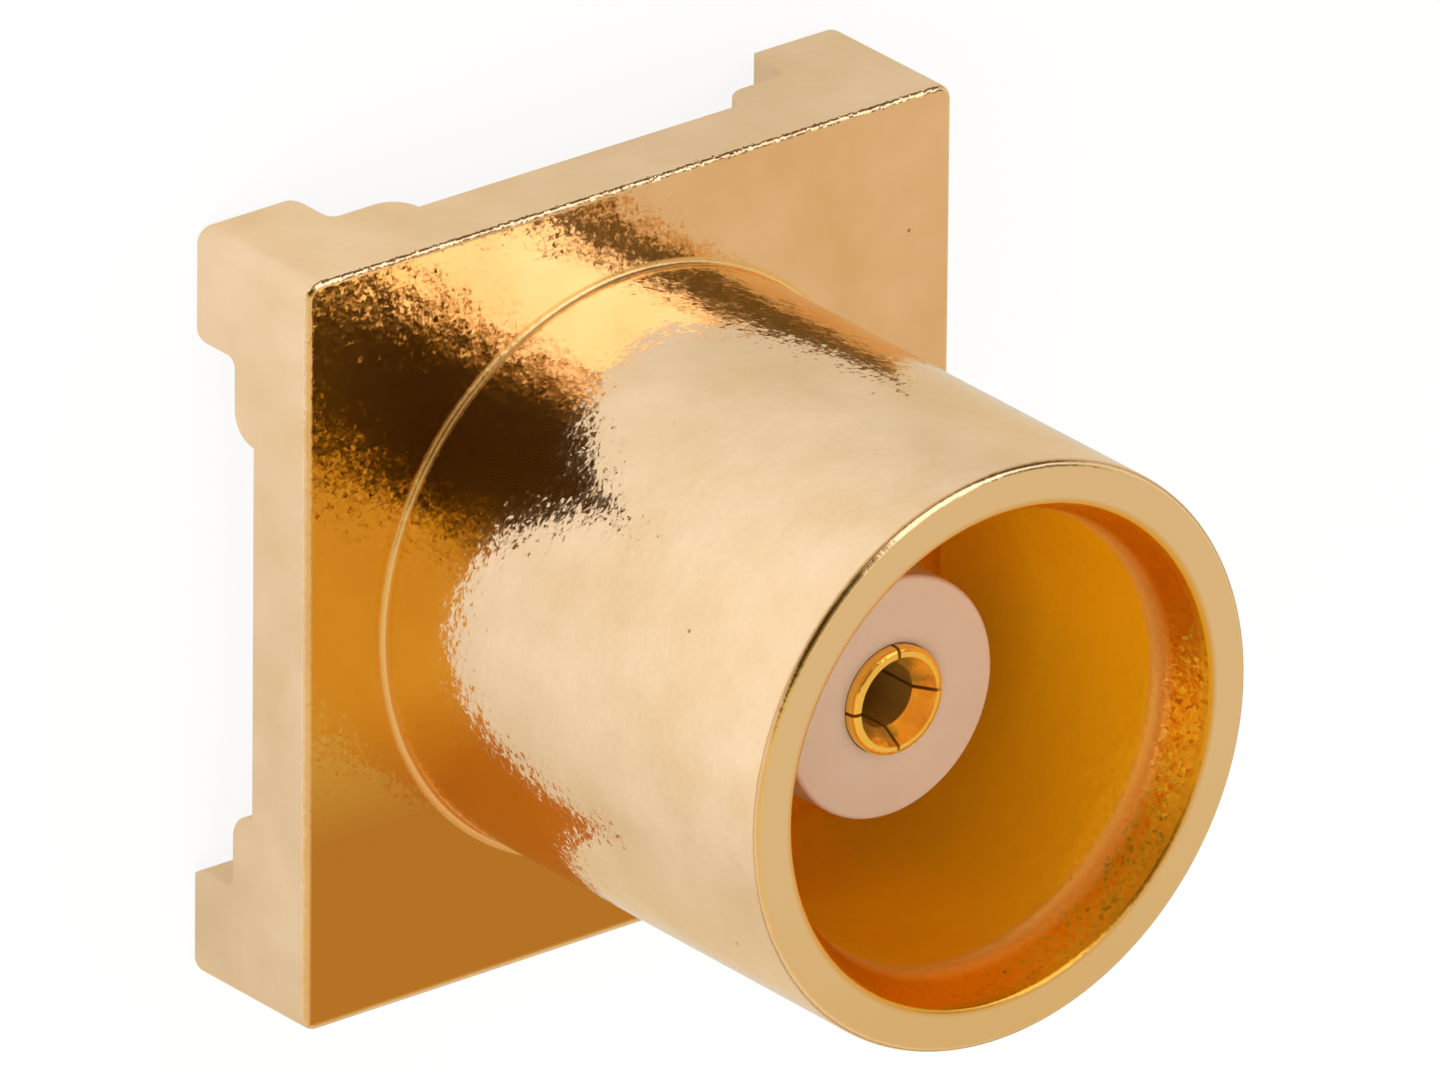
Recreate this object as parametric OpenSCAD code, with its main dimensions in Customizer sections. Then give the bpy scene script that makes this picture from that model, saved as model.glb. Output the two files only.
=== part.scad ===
// Straight surface-mount jack of a micro coaxial connector.
// A square flange stands on four corner feet and carries a barrel whose stepped bore holds
// a white insulator with a slotted socket contact in its centre.
// The board is at z = 0, the axis is +Z, and the flange sides lie along X and Y.

/* [Flange] */
// Length of each side of the square flange
flange_side = 6.35; // [6:0.05:7]
// Thickness of the flange between the feet
flange_t = 0.66; // [0.5:0.02:0.9]
// Radius of the flange corners seen from above
corner_r = 0.15; // [0.1:0.01:0.3]
// Rounding of the edges round the front face of the flange
face_edge_r = 0.06; // [0.02:0.01:0.12]

/* [Feet] */
// Height of the feet below the flange
foot_h = 0.78; // [0.6:0.02:1.1]
// Width of each foot along both sides of its corner
foot_w = 0.93; // [0.7:0.01:1.1]
// Rounding of the foot tip on the outer sides
tip_outer_r = 0.1; // [0.04:0.01:0.2]
// Rounding of the foot tip on the inner sides
tip_inner_r = 0.2; // [0.05:0.01:0.25]
// Reach of the shoulder beyond the foot, along both sides
shoulder_reach = 0.67; // [0.5:0.01:0.72]
// Height of the shoulder below the flange, which is also the rounding of its end
shoulder_h = 0.24; // [0.15:0.01:0.3]
// Fillet between foot and shoulder
foot_root_r = 0.09; // [0.04:0.01:0.15]

/* [Barrel] */
// Outer diameter of the barrel
barrel_d = 4.83; // [4.6:0.01:5.2]
// Height of the barrel above the front face of the flange
barrel_h = 4.61; // [4.4:0.01:5.2]
// Fillet between barrel and flange
base_fillet_r = 0.05; // [0.02:0.01:0.1]
// Rounding of the outer edge of the rim
rim_outer_r = 0.07; // [0.03:0.01:0.12]
// Rounding of the inner edge of the rim
rim_inner_r = 0.05; // [0.03:0.01:0.08]

/* [Mating bore] */
// Diameter of the mouth
mouth_d = 4.13; // [3.95:0.01:4.3]
// Depth of the lead-in taper below the rim
lead_in_depth = 0.43; // [0.3:0.01:0.55]
// Diameter of the bore that grips the plug
bore_d = 3.75; // [3.6:0.01:3.85]
// Depth of the bore floor below the rim
bore_depth = 3.75; // [3.5:0.01:3.9]
// Diameter of the snap groove
groove_d = 4; // [3.9:0.01:4.15]
// Depth of the middle of the snap groove below the rim
groove_at = 2.65; // [2.4:0.01:2.8]
// Width of the bottom of the snap groove
groove_w = 0.35; // [0.2:0.01:0.5]
// Angle of the groove flanks from the axis
groove_flank = 40; // [30:1:60]

/* [Insulator] */
// Diameter of the insulator post
post_d = 2; // [1.9:0.01:2.1]
// Depth of the post face below the rim
post_face_depth = 1.37; // [1.2:0.01:1.8]
// Rounding of the edge of the post face
post_edge_r = 0.04; // [0.02:0.01:0.1]
// Diameter of the neck where the insulator passes through the bore floor
neck_d = 2.5; // [2.3:0.01:2.6]
// Diameter of the insulator head under the flange
head_d = 3; // [2.8:0.01:3.1]
// Height of the insulator head
head_h = 0.85; // [0.6:0.01:1]
// Chamfer round the open side of the head
head_chamfer = 0.08; // [0.04:0.01:0.12]

/* [Contact] */
// Outer diameter of the socket
socket_d = 0.9; // [0.87:0.01:0.96]
// Height of the socket tip above the insulator face
socket_proud = 0.1; // [0.05:0.01:0.2]
// Rounding of the outer edge of the socket tip
socket_tip_r = 0.05; // [0.02:0.01:0.06]
// Diameter of the hole that takes the plug's pin
pin_hole_d = 0.53; // [0.5:0.01:0.56]
// Depth of that hole below the socket tip
pin_hole_depth = 2.3; // [2:0.05:2.5]
// Diameter of the countersink at the socket tip
countersink_d = 0.74; // [0.68:0.01:0.76]
// Depth of the countersink
countersink_depth = 0.17; // [0.1:0.01:0.3]
// Width of the slots that part the socket into four fingers
slot_w = 0.07; // [0.05:0.01:0.09]
// Length of the slots
slot_len = 1.4; // [1:0.05:1.8]
// Diameter of the collar that locks the contact in the insulator
collar_d = 1.3; // [1.15:0.01:1.5]
// Height of the collar
collar_h = 0.4; // [0.25:0.01:0.5]
// Height of the collar's lower face above the underside of the flange
collar_rise = 0.1; // [0.05:0.01:0.3]
// Diameter of the solder tail
tail_d = 0.8; // [0.7:0.01:0.9]
// Chamfer round the end of the solder tail
tail_chamfer = 0.08; // [0.04:0.01:0.12]

/* [Fits] */
// Radial clearance between the insulator and the body
press_gap = 0.005; // [0.002:0.001:0.02]
// Radial clearance between the contact and the insulator
contact_gap = 0.005; // [0.002:0.001:0.02]

/* [Hidden] */
$fn = 96;
// Overlap that lets a cutting shape pass through the face it opens
eps = 0.05;
half_side = flange_side / 2;
// Heights above the board
underside_z = foot_h;
face_z = underside_z + flange_t;
rim_z = face_z + barrel_h;
shoulder_z = underside_z - shoulder_h;
floor_z = rim_z - bore_depth;
groove_z = rim_z - groove_at;
post_face_z = rim_z - post_face_depth;
head_top_z = underside_z + head_h;
socket_tip_z = post_face_z + socket_proud;
collar_z = underside_z + collar_rise;
collar_top_z = collar_z + collar_h;
// Reach of the shoulder's end from the flange side
shoulder_end = foot_w + shoulder_reach;
// Angle of the lead-in taper from the axis
lead_in_angle = atan((mouth_d - bore_d) / 2 / lead_in_depth);
// Rise of each groove flank along the axis
groove_rise = (groove_d - bore_d) / 2 / tan(groove_flank);

// What rounding takes off a corner at the origin. The material lies above the +X axis,
// and the other side of the corner leaves the origin turned up by turn degrees.
module corner_waste(r, turn = 90) {
    side = r * tan(turn / 2);
    away = [-sin(turn), -cos(turn)];
    translate([side, r]) difference() {
        polygon([[0, 0], [0, -2 * r], 2 * r * (away + [0, -1]), 2 * r * away]);
        circle(r);
    }
}

// Fillet in an inner corner at the origin, with the open side at +X and +Y
module corner_fill(r) {
    difference() {
        translate([-eps, -eps]) square(r + eps);
        translate([r, r]) circle(r);
    }
}

// Right half of the section across the flange, its shoulder and its foot
module flange_half_section() {
    difference() {
        union() {
            translate([-eps, underside_z]) square([half_side + eps, flange_t]);
            translate([half_side - shoulder_end, shoulder_z]) square([shoulder_end, shoulder_h + eps]);
            translate([half_side - foot_w, 0]) square([foot_w, shoulder_z + eps]);
            translate([half_side - foot_w, shoulder_z]) rotate(180) corner_fill(foot_root_r);
        }
        translate([half_side, face_z]) rotate(180) corner_waste(face_edge_r);
        translate([half_side - shoulder_end, shoulder_z]) corner_waste(shoulder_h);
        translate([half_side - foot_w, 0]) corner_waste(tip_inner_r);
        translate([half_side, 0]) rotate(90) corner_waste(tip_outer_r);
    }
}

// The section carried straight across the flange along Y
module flange_run() {
    translate([0, half_side + eps, 0]) rotate([90, 0, 0]) linear_extrude(flange_side + 2 * eps) {
        flange_half_section();
        mirror([1, 0]) flange_half_section();
    }
}

// Square with rounded corners
module rounded_square(side, r) {
    square([side - 2 * r, side], center = true);
    square([side, side - 2 * r], center = true);
    for (x = [-1, 1], y = [-1, 1])
        translate([x * (side / 2 - r), y * (side / 2 - r)]) circle(r);
}

// Flange with its four corner feet: what two straight channels across the underside leave
module flange_with_feet() {
    intersection() {
        flange_run();
        rotate(90) flange_run();
        linear_extrude(rim_z) rounded_square(flange_side, corner_r);
    }
}

// Outside of the barrel, from within the flange to the rim
module barrel_outside() {
    rotate_extrude() {
        difference() {
            translate([0, underside_z + eps]) square([barrel_d / 2, rim_z - underside_z - eps]);
            translate([barrel_d / 2, rim_z]) rotate(180) corner_waste(rim_outer_r);
        }
        translate([barrel_d / 2, face_z]) corner_fill(base_fillet_r);
    }
}

// Mating bore: rounded mouth, lead-in taper, gripping bore with its snap groove, flat floor
module mating_bore() {
    rotate_extrude() {
        polygon([
            [0, floor_z],
            [bore_d / 2, floor_z],
            [bore_d / 2, groove_z - groove_w / 2 - groove_rise],
            [groove_d / 2, groove_z - groove_w / 2],
            [groove_d / 2, groove_z + groove_w / 2],
            [bore_d / 2, groove_z + groove_w / 2 + groove_rise],
            [bore_d / 2, rim_z - lead_in_depth],
            [mouth_d / 2, rim_z],
            [mouth_d / 2, rim_z + eps],
            [0, rim_z + eps],
        ]);
        translate([mouth_d / 2, rim_z]) mirror([0, 1]) corner_waste(rim_inner_r, 90 - lead_in_angle);
    }
}

// Stepped seat for the insulator, open at the underside
module insulator_seat() {
    translate([0, 0, -eps]) cylinder(d = head_d, h = head_top_z + eps);
    cylinder(d = neck_d, h = floor_z + eps);
}

// Gold-plated body: flange, feet and barrel in one piece
module body() {
    color([0.87, 0.69, 0.36])
        difference() {
            union() {
                flange_with_feet();
                barrel_outside();
            }
            mating_bore();
            insulator_seat();
        }
}

// White insulator: a post in the bore on a neck and a head that are pressed in from below
module insulator() {
    color([0.93, 0.9, 0.86])
        difference() {
            rotate_extrude() difference() {
                union() {
                    translate([0, underside_z]) square([head_d / 2 - press_gap, head_h]);
                    translate([0, head_top_z - eps])
                        square([neck_d / 2 - press_gap, floor_z - head_top_z + eps]);
                    translate([0, floor_z - eps]) square([post_d / 2, post_face_z - floor_z + eps]);
                }
                translate([post_d / 2, post_face_z]) rotate(180) corner_waste(post_edge_r);
                polygon([
                    [head_d / 2 - press_gap - head_chamfer, underside_z],
                    [head_d / 2 - press_gap + eps, underside_z + head_chamfer + eps],
                    [head_d / 2 - press_gap + eps, underside_z - eps],
                    [head_d / 2 - press_gap - head_chamfer, underside_z - eps],
                ]);
            }
            cylinder(d = socket_d + 2 * contact_gap, h = rim_z);
            cylinder(d = collar_d + 2 * contact_gap, h = collar_top_z);
        }
}

// Gold-plated contact: slotted socket, locking collar and solder tail in one turned piece
module center_contact() {
    color([0.87, 0.69, 0.36])
        difference() {
            union() {
                rotate_extrude() difference() {
                    translate([0, collar_z]) square([socket_d / 2, socket_tip_z - collar_z]);
                    translate([socket_d / 2, socket_tip_z]) rotate(180) corner_waste(socket_tip_r);
                }
                translate([0, 0, collar_z]) cylinder(d = collar_d, h = collar_h);
                cylinder(d1 = tail_d - 2 * tail_chamfer, d2 = tail_d, h = tail_chamfer);
                translate([0, 0, tail_chamfer]) cylinder(d = tail_d, h = collar_z - tail_chamfer + eps);
            }
            translate([0, 0, socket_tip_z - pin_hole_depth])
                cylinder(d = pin_hole_d, h = pin_hole_depth + eps);
            translate([0, 0, socket_tip_z - countersink_depth])
                cylinder(d1 = pin_hole_d, d2 = countersink_d, h = countersink_depth);
            for (turn = [0, 90])
                rotate(turn) translate([-socket_d, -slot_w / 2, socket_tip_z - slot_len])
                    cube([2 * socket_d, slot_w, slot_len + eps]);
        }
}

body();
insulator();
center_contact();
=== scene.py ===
import math

import bmesh
import bpy
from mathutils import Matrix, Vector


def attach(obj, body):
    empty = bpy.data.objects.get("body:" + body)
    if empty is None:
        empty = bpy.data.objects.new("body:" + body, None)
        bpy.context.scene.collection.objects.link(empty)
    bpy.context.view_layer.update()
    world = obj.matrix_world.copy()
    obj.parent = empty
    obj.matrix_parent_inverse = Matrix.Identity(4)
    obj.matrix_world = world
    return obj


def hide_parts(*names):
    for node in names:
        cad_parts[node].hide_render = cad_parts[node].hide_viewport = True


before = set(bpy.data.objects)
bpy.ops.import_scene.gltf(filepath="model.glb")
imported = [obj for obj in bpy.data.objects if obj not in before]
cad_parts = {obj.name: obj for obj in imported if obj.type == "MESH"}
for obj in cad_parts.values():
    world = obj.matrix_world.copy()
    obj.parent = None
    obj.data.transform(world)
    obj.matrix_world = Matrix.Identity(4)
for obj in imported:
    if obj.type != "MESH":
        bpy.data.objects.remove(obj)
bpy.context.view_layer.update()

# Body
# One piece of brass: a square flange on four corner feet, with the barrel on its front face.
# It is turned and milled from one blank, and plated with gold inside and out.

# Lengths are in millimetres, and each piece is brought to metres when its shape is done,
# because the bevel and normal tools are exact at that scale and round off at the other.
metres = 0.001
flange_side = 6.35
corner_r = 0.15
face_edge_r = 0.06
face_z = 1.44
underside_z = 0.78
foot_w = 0.93
tip_outer_r = 0.1
tip_inner_r = 0.2
shoulder_end = 1.6
shoulder_z = 0.54
# A hair under the shoulder's height, so that its round end leaves the wall an edge
shoulder_r = 0.2398
foot_root_r = 0.09
half_side = flange_side / 2
# How far a cutting tool passes through what it cuts
past = 0.5
# The channel tool's lip lies this much below the board, clear of the foot tips
lip_z = -0.001
# Two places closer than this are one, and a face whose middle lies this near the axis is on it
same_place = 0.0005
axis_room = 0.001


def pick(kind, test):
    """Selects the faces or the edges that pass the test"""
    bpy.ops.mesh.select_mode(type=kind)
    bpy.ops.mesh.select_all(action="DESELECT")
    shape = bmesh.from_edit_mesh(bpy.context.edit_object.data)
    for part in shape.faces if kind == "FACE" else shape.edges:
        if test(part):
            part.select_set(True)
    bmesh.update_edit_mesh(bpy.context.edit_object.data)


def pick_faces(test):
    """Selects the faces whose middle and normal pass the test"""
    pick("FACE", lambda face: test(face.calc_center_median(), face.normal))


def pick_edges(test):
    """Selects the edges whose two ends pass the test"""
    pick("EDGE", lambda edge: test(edge.verts[0].co) and test(edge.verts[1].co))


def pick_upright_edges():
    """Selects the edges that run along the axis"""
    pick("EDGE", lambda edge: (edge.verts[0].co - edge.verts[1].co).xy.length < same_place)


def near(a, b):
    """Whether two lengths are the same"""
    return abs(a - b) < same_place


def on_axis(middle):
    """Whether the middle of a face lies on the axis"""
    return math.hypot(middle.x, middle.y) < axis_room


def ring(radius, height):
    """Test for the ends of the edges of a ring round the axis"""
    return lambda p: near(math.hypot(p.x, p.y), radius) and near(p.z, height)


def round_off(radius, steps):
    """Rounds the selected edges"""
    bpy.ops.mesh.bevel(offset_type="OFFSET", offset=radius, segments=steps, profile=0.5,
                       affect="EDGES", clamp_overlap=False, loop_slide=False)


def push_out(rise):
    """Extrudes the selected faces along the axis"""
    bpy.ops.mesh.extrude_region_move(TRANSFORM_OT_translate={"value": (0, 0, rise)})


def cap(height, up=1):
    """Test for the end face of a turned or square shape at a height"""
    return lambda middle, normal: (near(middle.z, height) and normal.z * up > 0.9
                                   and on_axis(middle))


def draw_out(path, up=1):
    """Carries the end face of a round bar through a list of radii and heights"""
    for (old_radius, old_height), (radius, height) in zip(path, path[1:]):
        pick_faces(cap(old_height, up))
        push_out(height - old_height)
        size = radius / old_radius
        bpy.ops.transform.resize(value=(size, size, 1), center_override=(0, 0, height))


def block(name, side_x, side_y, bottom, top):
    """A box between two heights, in edit mode"""
    bpy.ops.object.select_all(action="DESELECT")
    bpy.ops.mesh.primitive_cube_add(size=1, location=(0, 0, (bottom + top) / 2))
    piece = bpy.context.object
    piece.name = name
    bpy.ops.transform.resize(value=(side_x, side_y, top - bottom))
    bpy.ops.object.transform_apply(location=True, rotation=True, scale=True)
    bpy.ops.object.mode_set(mode="EDIT")
    return piece


def turned(name, radius, bottom, top, sides):
    """A round bar between two heights, in edit mode"""
    bpy.ops.object.select_all(action="DESELECT")
    bpy.ops.mesh.primitive_cylinder_add(vertices=sides, radius=radius, depth=top - bottom,
                                        location=(0, 0, (bottom + top) / 2), end_fill_type="NGON")
    piece = bpy.context.object
    piece.name = name
    bpy.ops.object.transform_apply(location=True, rotation=True, scale=True)
    bpy.ops.object.mode_set(mode="EDIT")
    return piece


def cut_with(piece, tool, action="DIFFERENCE"):
    """Cuts the piece with a tool, or joins the tool to it, and clears the tool away"""
    bpy.ops.object.select_all(action="DESELECT")
    piece.select_set(True)
    bpy.context.view_layer.objects.active = piece
    change = piece.modifiers.new(action.lower(), "BOOLEAN")
    change.operation = action
    change.solver = "EXACT"
    change.object = tool
    bpy.ops.object.modifier_apply(modifier=change.name)
    bpy.data.objects.remove(tool, do_unlink=True)


# The blank: a square block with its corners, face edges and foot edges rounded
body = block("plated_body", flange_side, flange_side, 0, face_z)
pick_upright_edges()
round_off(corner_r, 12)
pick_edges(lambda p: near(p.z, face_z))
round_off(face_edge_r, 8)
pick_edges(lambda p: near(p.z, 0))
round_off(tip_outer_r, 8)
bpy.ops.object.mode_set(mode="OBJECT")

# The cross milled into the underside, which leaves the feet and their shoulders. The cutter
# has the cross's own steps, with their fillets and rounded edges.
foot_x = half_side - foot_w
shoulder_x = half_side - shoulder_end
arm_x = half_side + 2 * past


def outline(half_width, height):
    """Test for the ends of the edges round a cross at a height"""
    return lambda p: near(min(abs(p.x), abs(p.y)), half_width) and near(p.z, height)


cross = block("cross_cutter", 2 * foot_x, 2 * foot_x, lip_z, shoulder_z)
pick_faces(lambda middle, normal: abs(normal.z) < 0.1)
bpy.ops.mesh.extrude_faces_move(TRANSFORM_OT_shrink_fatten={"value": arm_x - foot_x})
pick_faces(lambda middle, normal: normal.z > 0.9)
bpy.ops.mesh.inset(thickness=foot_x - shoulder_x, use_even_offset=True)
push_out(underside_z - shoulder_z)
pick_faces(lambda middle, normal: normal.z < -0.9)
push_out(-past)
pick_faces(lambda middle, normal: abs(normal.z) < 0.1 and middle.z < lip_z)
bpy.ops.mesh.extrude_region_shrink_fatten(
    TRANSFORM_OT_shrink_fatten={"value": past, "use_even_offset": True})
pick_edges(outline(foot_x, lip_z))
round_off(tip_inner_r, 12)
pick_edges(outline(foot_x, shoulder_z))
round_off(foot_root_r, 8)
pick_edges(outline(shoulder_x, shoulder_z))
round_off(shoulder_r, 12)
bpy.ops.object.mode_set(mode="OBJECT")
cut_with(body, cross)

# The barrel, with the outer edge of its rim rounded
barrel_r = 2.415
rim_z = 6.05
rim_outer_r = 0.07
around = 256
barrel = turned("barrel", barrel_r, underside_z + past / 2, rim_z, around)
pick_edges(ring(barrel_r, rim_z))
round_off(rim_outer_r, 8)
bpy.ops.object.mode_set(mode="OBJECT")
cut_with(body, barrel, "UNION")

# The bored hole from below: insulator seat, neck, gripping bore with its snap groove, lead-in
seat_r = 1.5
seat_top_z = 1.63
neck_r = 1.25
floor_z = 2.3
bore_r = 1.875
groove_r = 2.0
groove_low_z = 2.455
groove_high_z = 2.805
groove_rise = 0.149
lead_in_z = 5.62
mouth_r = 2.065
borer = turned("borer", seat_r, underside_z - past, seat_top_z, around)
draw_out([(seat_r, seat_top_z), (neck_r, seat_top_z), (neck_r, floor_z), (bore_r, floor_z),
          (bore_r, groove_low_z - groove_rise), (groove_r, groove_low_z), (groove_r, groove_high_z),
          (bore_r, groove_high_z + groove_rise), (bore_r, lead_in_z),
          (bore_r + (mouth_r - bore_r) * 2, lead_in_z + (rim_z - lead_in_z) * 2)])
bpy.ops.object.mode_set(mode="OBJECT")
cut_with(body, borer)

# The small fillet at the foot of the barrel, the rounded inner edge of the rim, and the soft
# crease between taper and bore. The last two are given by their reach along each face.
base_fillet_r = 0.05
mouth_round = 0.0326
lead_in_blend = 0.08
bpy.ops.object.mode_set(mode="EDIT")
pick_edges(ring(barrel_r, face_z))
round_off(base_fillet_r, 8)
pick_edges(ring(mouth_r, rim_z))
round_off(mouth_round, 4)
pick_edges(ring(bore_r, lead_in_z))
round_off(lead_in_blend, 6)
bpy.ops.object.mode_set(mode="OBJECT")


def finish_shape(piece):
    """Smooths the rounded parts, keeps the flats flat, and brings the piece to metres"""
    bpy.ops.object.select_all(action="DESELECT")
    piece.select_set(True)
    bpy.context.view_layer.objects.active = piece
    bpy.ops.object.shade_smooth_by_angle(angle=math.radians(20))
    flats = piece.modifiers.new("flats", "WEIGHTED_NORMAL")
    flats.keep_sharp = True
    bpy.ops.object.modifier_apply(modifier=flats.name)
    bpy.ops.transform.resize(value=(metres, metres, metres), center_override=(0, 0, 0))
    bpy.ops.object.transform_apply(location=True, rotation=True, scale=True)


finish_shape(body)


def add_node(tree, kind, inputs=None, **settings):
    """Adds a shader node with its settings, and sets or joins its inputs by name or number"""
    node = tree.nodes.new("ShaderNode" + kind)
    for name, value in settings.items():
        setattr(node, name, value)
    for name, value in (inputs or {}).items():
        if isinstance(value, bpy.types.NodeSocket):
            tree.links.new(value, node.inputs[name])
        else:
            node.inputs[name].default_value = value
    return node


def add_math(tree, operation, *values):
    """Adds one step of arithmetic on one to three values and gives its result"""
    return add_node(tree, "Math", dict(enumerate(values)), operation=operation).outputs[0]


def add_blend(tree, share, first, second):
    """Mixes two colours by a share and gives the colour"""
    mix = add_node(tree, "Mix", {0: share, 6: first, 7: second}, data_type="RGBA")
    return mix.outputs[2]


def add_vector(tree, operation, *values):
    """Adds a step with one to three vectors and gives the vector"""
    return add_node(tree, "VectorMath", dict(enumerate(values)), operation=operation).outputs["Vector"]


def add_cube(tree, vector):
    """Raises each part of a vector to its third power, which leaves most of them small"""
    return add_vector(tree, "MULTIPLY", vector, add_vector(tree, "MULTIPLY", vector, vector))


def between(tree, value, low, high):
    """A mask that rises from 0 at one value to 1 at the other"""
    return add_node(tree, "MapRange", {"Value": value, "From Min": low, "From Max": high}).outputs[0]


def all_of(tree, first, *others):
    """A mask that is whole only where each of some masks is"""
    for mask in others:
        first = add_math(tree, "MULTIPLY", first, mask)
    return first


def along(tree, x, y, heading):
    """How far a place lies along a heading across the board"""
    return add_math(tree, "MULTIPLY_ADD", x, heading[0], add_math(tree, "MULTIPLY", y, heading[1]))


# The skin of the plating, for the body and the contact: small flat flakes that each lean their
# own way, and a few of them more, on fine pebbles and a faint swell, with clouds of tone and
# a few pits. Pebbles and swells are given by how many fit across one flake, and the swell's
# height by how many pebbles high it is.
stir_reach = 0.06 * metres
few_weight = 0.5
pebbles_per_flake = 0.6
swells_per_flake = 0.14
swell_in_pebbles = 3.0
clouds_per_metre = 1300.0
pits_per_metre = 2500.0
share_without_pit = 0.7
plating_skin = bpy.data.node_groups.new("plating_skin", "ShaderNodeTree")
for name, kind in (("Place", "NodeSocketVector"), ("Flakes per metre", "NodeSocketFloat"),
                   ("Flake lean", "NodeSocketFloat"), ("Pebble height", "NodeSocketFloat")):
    plating_skin.interface.new_socket(name, in_out="INPUT", socket_type=kind)
plating_skin.interface.new_socket("Normal", in_out="OUTPUT", socket_type="NodeSocketVector")
for name in ("Clouds", "Pits"):
    plating_skin.interface.new_socket(name, in_out="OUTPUT", socket_type="NodeSocketFloat")
skin_in = plating_skin.nodes.new("NodeGroupInput").outputs
skin_out = plating_skin.nodes.new("NodeGroupOutput").inputs
skin_place = skin_in["Place"]
flake_count = skin_in["Flakes per metre"]

stir = add_node(plating_skin, "TexNoise", {"Vector": skin_place, "Scale": flake_count})
stirred = add_vector(plating_skin, "MULTIPLY_ADD", stir.outputs["Color"],
                     (stir_reach, stir_reach, stir_reach), skin_place)
flakes = add_node(plating_skin, "TexVoronoi", {"Vector": stirred, "Scale": flake_count})
any_way = add_vector(plating_skin, "MULTIPLY_ADD", flakes.outputs["Color"], (2, 2, 2), (-1, -1, -1))
most_lean = add_cube(plating_skin, any_way)
lean = add_vector(plating_skin, "MULTIPLY_ADD", add_cube(plating_skin, most_lean),
                  (few_weight, few_weight, few_weight), most_lean)

pebble_count = add_math(plating_skin, "MULTIPLY", flake_count, pebbles_per_flake)
pebbles = add_node(plating_skin, "TexNoise", {
    "Vector": skin_place, "Scale": pebble_count, "Detail": 1.0, "Roughness": 0.5})
swell_count = add_math(plating_skin, "MULTIPLY", flake_count, swells_per_flake)
swell = add_node(plating_skin, "TexNoise", {
    "Vector": skin_place, "Scale": swell_count, "Detail": 1.0})
bumps = add_math(plating_skin, "MULTIPLY_ADD", swell.outputs["Fac"], swell_in_pebbles,
                 pebbles.outputs["Fac"])
bumps = add_math(plating_skin, "MULTIPLY", bumps, skin_in["Pebble height"])
relief = add_node(plating_skin, "Bump", {"Strength": 1.0, "Distance": 1.0, "Height": bumps})
leaning = add_vector(plating_skin, "MULTIPLY_ADD", lean, skin_in["Flake lean"],
                     relief.outputs["Normal"])
plating_skin.links.new(add_vector(plating_skin, "NORMALIZE", leaning), skin_out["Normal"])

clouds = add_node(plating_skin, "TexNoise", {
    "Vector": skin_place, "Scale": clouds_per_metre, "Detail": 3.0})
plating_skin.links.new(between(plating_skin, clouds.outputs["Fac"], 0.3, 0.7), skin_out["Clouds"])
pit_cells = add_node(plating_skin, "TexVoronoi", {"Vector": skin_place, "Scale": pits_per_metre})
cell_draw = add_node(plating_skin, "SeparateColor", {"Color": pit_cells.outputs["Color"]})
few = add_math(plating_skin, "GREATER_THAN", cell_draw.outputs["Red"], share_without_pit)
pit = between(plating_skin, pit_cells.outputs["Distance"], 0.06, 0.03)
plating_skin.links.new(all_of(plating_skin, pit, few), skin_out["Pits"])

body_gold = bpy.data.materials.new("body_gold")
body_gold.use_nodes = True
gold = body_gold.node_tree
gold_face = gold.nodes["Principled BSDF"]
gold_face.inputs["Specular Tint"].default_value = (1.0, 0.88, 0.66, 1)
gold_place = add_node(gold, "TexCoord").outputs["Object"]
skin = add_node(gold, "Group", {
    "Place": gold_place, "Flakes per metre": 29000.0, "Pebble height": 0.0024 * metres},
    node_tree=plating_skin)
gold.links.new(skin.outputs["Normal"], gold_face.inputs["Normal"])

# The place of a point in millimetres, as in the sizes above
in_mm = add_vector(gold, "MULTIPLY", gold_place, (1 / metres, 1 / metres, 1 / metres))
at_x, at_y, at_z = add_node(gold, "SeparateXYZ", {0: in_mm}).outputs
across = add_math(gold, "SQRT", add_math(gold, "MULTIPLY_ADD", at_x, at_x,
                                         add_math(gold, "MULTIPLY", at_y, at_y)))

# Inside the mouth: the bore, the taper above it, and the side of the taper that is worn
in_mouth = all_of(gold, between(gold, across, mouth_r + 0.055, mouth_r - 0.005),
                  between(gold, at_z, floor_z - 0.2, floor_z - 0.1))
in_bore = all_of(gold, between(gold, at_z, lead_in_z + 0.14, lead_in_z - 0.12), in_mouth)
in_taper = add_math(gold, "SUBTRACT", in_mouth, in_bore)
worn_heading = (0.83, -0.55)
worn = all_of(gold, between(gold, along(gold, at_x, at_y, worn_heading), 0.9, 1.7), in_taper)

# The flat of the rim, and its two edges
rim_middle_r = 2.22
on_rim = between(gold, at_z, rim_z - 0.02, rim_z)
off_rim = add_math(gold, "ABSOLUTE", add_math(gold, "ADD", across, -rim_middle_r))
rim_edge = all_of(gold, between(gold, off_rim, 0.11, 0.14),
                  between(gold, at_z, rim_z - 0.09, rim_z - 0.06))

# The fillet round the barrel's foot, which ends on the flange at fillet_end_r
fillet_end_r = barrel_r + base_fillet_r
fillet_end_z = face_z + base_fillet_r
at_foot = all_of(gold, between(gold, across, fillet_end_r + 0.015, fillet_end_r),
                 between(gold, across, barrel_r - 0.015, barrel_r - 0.005),
                 between(gold, at_z, fillet_end_z + 0.02, fillet_end_z),
                 between(gold, at_z, face_z - 0.04, face_z - 0.01))

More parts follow.
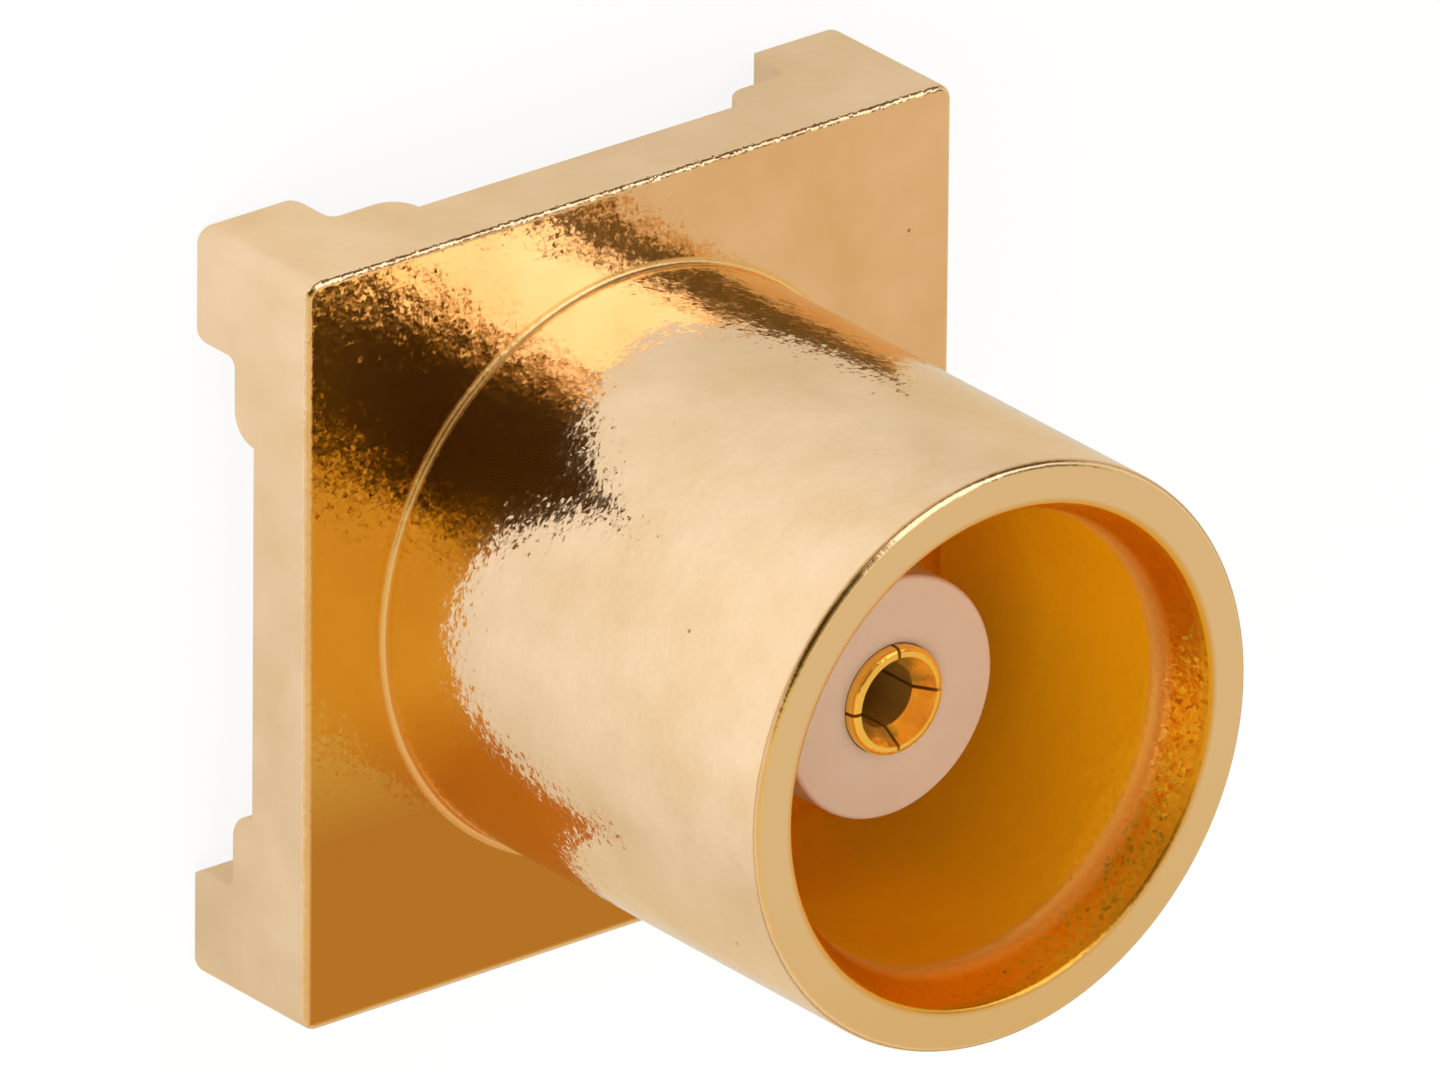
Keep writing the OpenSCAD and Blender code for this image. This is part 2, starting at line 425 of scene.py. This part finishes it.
# The flange's edges and its face between them, with the margin on the -X side
reach = add_math(gold, "MAXIMUM", add_math(gold, "ABSOLUTE", at_x), add_math(gold, "ABSOLUTE", at_y))
at_edge = all_of(gold, between(gold, reach, half_side - 0.075, half_side - 0.045),
                 between(gold, at_z, face_z - 0.08, face_z - 0.05))
off_edges = add_math(gold, "SUBTRACT", 1.0, add_math(gold, "MAXIMUM", at_edge, at_foot))
on_face = all_of(gold, between(gold, at_z, face_z - 0.07, face_z - 0.03),
                 between(gold, at_z, face_z + 0.12, face_z + 0.06), off_edges)
at_margin = all_of(gold, between(gold, at_x, -2.1, -3.0), on_face)

# Colours: pale gold in clouds; painted shade on the flange's face, deeper towards two sides and
# browner on the -Y side, which stands in for the barrel's reflection in the face; yellower on the
# faced rim and the foot's fillet, both deeper towards -Y; and a strong orange in the mouth, which
# is painted reflection between its gold walls, brighter deeper in the bore
plain_gold = add_blend(gold, skin.outputs["Clouds"], (0.88, 0.62, 0.36, 1), (0.97, 0.72, 0.47, 1))
# Painted shade on the flange's face: deeper and browner gold that stands in for the barrel's
# reflection
painted_shade_gold = (0.86, 0.56, 0.11, 1)
painted_dark_shade_gold = (0.62, 0.285, 0.045, 1)
rim_gold = add_blend(gold, between(gold, at_y, -0.4, -2.4),
                     (0.93, 0.76, 0.49, 1), (0.90, 0.69, 0.38, 1))
foot_gold = add_blend(gold, between(gold, at_y, 0.6, -1.6),
                      (0.96, 0.66, 0.31, 1), (0.90, 0.53, 0.21, 1))
# Painted reflection: the mouth's strong orange stands in for light passed between its gold walls, and
# the bore is painted brighter deeper down
taper_painted_reflection = (0.84, 0.42, 0.02, 1)
bore_painted_reflection = add_blend(gold, between(gold, at_z, 5.0, 3.6),
                      (0.94, 0.465, 0.005, 1), (1.0, 0.535, 0.006, 1))
pit_brown = (0.45, 0.28, 0.12, 1)
# Where the painted shade lies on the flange's face: deeper towards -X, and browner towards -Y
painted_shade_heading = (-0.9, -0.43)
painted_shade_side = all_of(gold, between(gold, along(gold, at_x, at_y, painted_shade_heading), 0.2, 1.8), on_face)
painted_dark_side = all_of(gold, between(gold, at_y, -0.5, -1.6), on_face)
tone = plain_gold
for place, colour in ((painted_shade_side, painted_shade_gold), (painted_dark_side, painted_dark_shade_gold), (on_rim, rim_gold),
                      (at_foot, foot_gold), (in_taper, taper_painted_reflection), (in_bore, bore_painted_reflection),
                      (skin.outputs["Pits"], pit_brown)):
    tone = add_blend(gold, place, tone, colour)
gold.links.new(tone, gold_face.inputs["Base Color"])


def add_shares(tree, plain, *shares):
    """Starts from a plain value and adds a share of each mask to it"""
    for mask, share in shares:
        plain = add_math(tree, "MULTIPLY_ADD", mask, share, plain)
    return plain


# The mouth, the margin, the foot's fillet and the edges are rougher. The flakes lean more along
# the flange's edges and on the worn side of the taper, and less on the rim's turned edges.
edges = add_math(gold, "MAXIMUM", at_edge, rim_edge)
dull = add_shares(gold, 0.12, (in_mouth, 0.15), (at_margin, 0.07), (at_foot, 0.2), (edges, 0.08))
gold.links.new(dull, gold_face.inputs["Roughness"])
lean_here = add_shares(gold, 0.037, (at_edge, 0.1), (at_margin, 0.02), (rim_edge, -0.027),
                       (worn, 0.06))
gold.links.new(lean_here, skin.inputs["Flake lean"])
# Less of a mirror in the bore, where walls that face each other would darken the colour
gold.links.new(add_shares(gold, 1.0, (in_bore, -0.6)), gold_face.inputs["Metallic"])
body.data.materials.clear()
body.data.materials.append(body_gold)
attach(body, "root")
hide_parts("body")

# Insulator
# A stepped bush of white fluoropolymer, pressed into the body from below. Its post stands
# in the bore and carries the contact.
post_r = 1.0
post_face_z = 4.68
post_edge_r = 0.04
press_gap = 0.005
head_chamfer = 0.08
head_r = seat_r - press_gap
insulator_neck_r = neck_r - press_gap
collar_hole_r = 0.655
collar_top_z = 1.28
contact_hole_r = 0.455
insulator = turned("ptfe_insulator", head_r, underside_z, seat_top_z, around)
pick_edges(ring(head_r, underside_z))
round_off(head_chamfer, 1)
draw_out([(head_r, seat_top_z), (insulator_neck_r, seat_top_z), (insulator_neck_r, floor_z),
          (post_r, floor_z), (post_r, post_face_z)])
pick_edges(ring(post_r, post_face_z))
round_off(post_edge_r, 6)
draw_out([(post_r - post_edge_r, post_face_z), (contact_hole_r, post_face_z),
          (contact_hole_r, collar_top_z), (collar_hole_r, collar_top_z)])
draw_out([(head_r - head_chamfer, underside_z), (collar_hole_r, underside_z)], up=-1)
pick_faces(lambda middle, normal: on_axis(middle))
bpy.ops.mesh.bridge_edge_loops()
bpy.ops.object.mode_set(mode="OBJECT")
finish_shape(insulator)

white_ptfe = bpy.data.materials.new("white_ptfe")
white_ptfe.use_nodes = True
ptfe = white_ptfe.node_tree
ptfe_face = ptfe.nodes["Principled BSDF"]
ptfe_face.inputs["Roughness"].default_value = 0.45
ptfe_face.inputs["Subsurface Weight"].default_value = 0.3
ptfe_face.inputs["Subsurface Scale"].default_value = 0.3 * metres
ptfe_place = add_node(ptfe, "TexCoord").outputs["Object"]
haze = add_node(ptfe, "TexNoise", {"Vector": ptfe_place, "Scale": 1500.0, "Detail": 3.0})
# The white is painted tan: painted warm light and shade from the gold bore round it, with a random
# haze between two tones
haze_white_painted_warm = (0.48, 0.35, 0.27, 1)
clear_white_painted_warm = (0.55, 0.415, 0.33, 1)
ptfe.links.new(add_blend(ptfe, haze.outputs["Fac"], haze_white_painted_warm, clear_white_painted_warm),
               ptfe_face.inputs["Base Color"])
grain = add_node(ptfe, "TexNoise", {"Vector": ptfe_place, "Scale": 25000.0, "Detail": 2.0})
relief = add_node(ptfe, "Bump", {
    "Strength": 1.0, "Distance": 0.001 * metres, "Height": grain.outputs["Fac"]})
ptfe.links.new(relief.outputs["Normal"], ptfe_face.inputs["Normal"])
insulator.data.materials.clear()
insulator.data.materials.append(white_ptfe)
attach(insulator, "root")
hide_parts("insulator")

# Contact
# A socket turned from a springy copper alloy and plated with gold, slit into four fingers.
# Its collar locks in the insulator, and its tail is soldered to the board.
tail_r = 0.4
tail_chamfer = 0.08
collar_r = 0.65
collar_z = 0.88
socket_r = 0.45
socket_tip_z = 4.78
socket_tip_r = 0.05
countersink_r = 0.37
countersink_z = 4.61
pin_hole_r = 0.265
pin_hole_z = 2.48
slot_w = 0.03
slot_floor_z = 3.38
saw_length = 2
contact = turned("socket_contact", tail_r, 0, collar_z, around // 2)
pick_edges(ring(tail_r, 0))
round_off(tail_chamfer, 1)
draw_out([(tail_r, collar_z), (collar_r, collar_z), (collar_r, collar_top_z),
          (socket_r, collar_top_z), (socket_r, socket_tip_z)])
pick_edges(ring(socket_r, socket_tip_z))
round_off(socket_tip_r, 6)
draw_out([(socket_r - socket_tip_r, socket_tip_z), (countersink_r, socket_tip_z),
          (pin_hole_r, countersink_z), (pin_hole_r, pin_hole_z)])
bpy.ops.object.mode_set(mode="OBJECT")
for saw_x, saw_y in ((saw_length, slot_w), (slot_w, saw_length)):
    saw = block("saw", saw_x, saw_y, slot_floor_z, socket_tip_z + past)
    bpy.ops.object.mode_set(mode="OBJECT")
    cut_with(contact, saw)
finish_shape(contact)

contact_gold = bpy.data.materials.new("contact_gold")
contact_gold.use_nodes = True
bright = contact_gold.node_tree
bright_face = bright.nodes["Principled BSDF"]
bright_face.inputs["Metallic"].default_value = 0.85
bright_face.inputs["Roughness"].default_value = 0.2
skin = add_node(bright, "Group", {
    "Place": add_node(bright, "TexCoord").outputs["Object"], "Flakes per metre": 28000.0,
    "Flake lean": 0.06, "Pebble height": 0.0012 * metres}, node_tree=plating_skin)
dim_gold = (0.96, 0.58, 0.09, 1)
clear_gold = (1.0, 0.68, 0.15, 1)
bright.links.new(add_blend(bright, skin.outputs["Clouds"], dim_gold, clear_gold),
                 bright_face.inputs["Base Color"])
bright.links.new(skin.outputs["Normal"], bright_face.inputs["Normal"])
contact.data.materials.clear()
contact.data.materials.append(contact_gold)
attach(contact, "root")
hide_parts("center_contact")

# Floor
# A plain white board under the feet. It shows white to the camera, and part of that comes from
# the light on it, so it keeps the object's shadow. In the gold it shows painted shade, dimmer
# behind the object, and a painted golden reflection far off.
bpy.ops.object.select_all(action="DESELECT")
bpy.ops.mesh.primitive_plane_add(size=2, location=(0, 0, 0))
floor = bpy.context.object
floor.name = "floor"
floor_white = bpy.data.materials.new("floor_white")
floor_white.use_nodes = True
board = floor_white.node_tree
board.nodes.clear()
paper = add_node(board, "BsdfDiffuse", {"Color": (0.9, 0.93, 0.97, 1)})
glow = add_node(board, "Emission")
rays = add_node(board, "LightPath").outputs
floor_place = add_node(board, "TexCoord").outputs["Object"]
spot = add_node(board, "SeparateXYZ", {0: floor_place}).outputs
# Painted shade in the gold: in reflections the board glows dimmer behind the object and brighter
# towards the front
front_heading = (-0.805, 0.593)
painted_shade_level = add_node(board, "MapRange", {
    "Value": along(board, spot[0], spot[1], front_heading), "From Min": 1 * metres,
    "From Max": 8 * metres, "To Min": 0.71, "To Max": 1.04}).outputs[0]
glow_with_painted_shade = add_node(board, "Mix", {0: rays["Is Glossy Ray"], 2: 1.0, 3: painted_shade_level}).outputs[0]
distance = add_node(board, "VectorMath", {0: floor_place}, operation="LENGTH").outputs["Value"]
# Painted reflection: far off, the board shows golden in the gold only
far = all_of(board, between(board, distance, 8 * metres, 35 * metres), rays["Is Glossy Ray"])
plain_white = (1, 1, 1, 1)
far_painted_gold = (0.55, 0.35, 0.10, 1)
board.links.new(add_blend(board, far, plain_white, far_painted_gold), glow.inputs["Color"])
board.links.new(glow_with_painted_shade, glow.inputs["Strength"])
# How much of the board is its own glow and not the light on it, in the gold and to the camera
glow_in_gold = 0.85
glow_to_camera = 0.9
seen = add_math(board, "MULTIPLY_ADD", rays["Is Glossy Ray"], glow_in_gold,
                add_math(board, "MULTIPLY", rays["Is Camera Ray"], glow_to_camera))
lit = add_node(board, "MixShader", {0: seen, 1: paper.outputs[0], 2: glow.outputs[0]})
clear = add_node(board, "BsdfTransparent")
behind = add_node(board, "NewGeometry").outputs["Backfacing"]
both = add_node(board, "MixShader", {0: behind, 1: lit.outputs[0], 2: clear.outputs[0]})
board.links.new(both.outputs[0], add_node(board, "OutputMaterial").inputs["Surface"])
floor.data.materials.append(floor_white)

# Light
# A pale studio round the object. The gold shows its large soft box, its warm side, and the
# places that no lamp reaches: the dark round the camera, the middle of the ceiling, a low
# band, and two patches on the far side.
studio = bpy.data.worlds.new("studio")
bpy.context.scene.world = studio
studio.use_nodes = True
room = studio.node_tree
backdrop = room.nodes["Background"]
towards = add_node(room, "TexCoord").outputs["Generated"]


def patch(direction, inner, outer):
    """How much of a round patch of the room lies in the ray's direction, by its angles in degrees"""
    centre = Vector(direction).normalized()
    facing = add_node(room, "VectorMath", {0: towards, 1: centre}, operation="DOT_PRODUCT")
    return add_node(room, "MapRange", {
        "Value": facing.outputs["Value"], "From Min": math.cos(math.radians(outer)),
        "From Max": math.cos(math.radians(inner))}, interpolation_type="SMOOTHSTEP").outputs[0]


rise = add_node(room, "SeparateXYZ", {0: towards}).outputs[2]
dark_way = (-0.473, 0.525, 0.707)
low_band = all_of(room, between(room, rise, 0.08, 0.14), between(room, rise, 0.46, 0.36),
                  patch((-0.35, 0.92, 0.2), 35, 55))
wall_light = (0.85, 0.78, 0.66, 1)
ceiling_light = (0.80, 0.62, 0.30, 1)
sky = add_blend(room, between(room, rise, 0.3, 0.62), wall_light, ceiling_light)
# What the gold shows over walls and ceiling, one laid over the other: the soft box, the warm
# side, the rim of the dark and the dark itself, the middle of the ceiling, the low band, and
# the two patches on the far side
for share, light in ((patch((0.29, 0.65, 0.71), 22, 40), (1.75, 1.65, 1.6, 1)),
                     (patch((0.569, -0.418, 0.709), 20, 45), (0.745, 0.59, 0.40, 1)),
                     (patch(dark_way, 22.5, 33), (0.60, 0.38, 0.06, 1)),
                     (patch(dark_way, 17, 29), (0.035, 0.018, 0.001, 1)),
                     (patch((-0.1, 0.28, 0.955), 10, 20), (0.22, 0.15, 0.045, 1)),
                     (low_band, (0.2, 0.14, 0.045, 1)),
                     (patch((0.664, 0.242, 0.707), 7, 15), (0.12, 0.09, 0.03, 1)),
                     (patch((0.636, 0.759, 0.139), 14, 26), (0.08, 0.06, 0.03, 1))):
    sky = add_blend(room, share, sky, light)
sees = add_node(room, "LightPath").outputs["Is Camera Ray"]
room.links.new(add_blend(room, sees, sky, plain_white), backdrop.inputs["Color"])


def hang_lamp(name, place, energy):
    """Hangs a square lamp that faces the object, and that the gold doesn't show"""
    bpy.ops.object.light_add(type="AREA", location=place)
    lamp = bpy.context.object
    lamp.name = name
    lamp.rotation_euler = Vector(place).to_track_quat("Z", "Y").to_euler()
    lamp.data.size = 0.12
    lamp.data.energy = energy
    lamp.visible_glossy = False


hang_lamp("soft_box", (-0.063, -0.006, 0.0766), 0.1)
hang_lamp("side_box", (0.048, -0.036, 0.077), 0.025)

# Camera
# Set where the photograph was taken from, with a long lens.
right = Vector((0.78239, 0.00878, 0.62272))
up = Vector((0.25391, 0.90853, -0.33182))
bpy.ops.object.camera_add(location=(-0.169574, 0.125126, 0.213861))
camera = bpy.context.object
camera.name = "camera"
back = right.cross(up)
camera.rotation_mode = "QUATERNION"
turned_to = camera.matrix_world.to_3x3()
turned_to.col[0], turned_to.col[1], turned_to.col[2] = right, up, back
camera.rotation_quaternion = turned_to.to_quaternion()
camera.data.lens = 966.4
camera.data.sensor_width = 36
camera.data.clip_end = 10
bpy.context.scene.camera = camera
bpy.context.scene.view_settings.view_transform = "Standard"
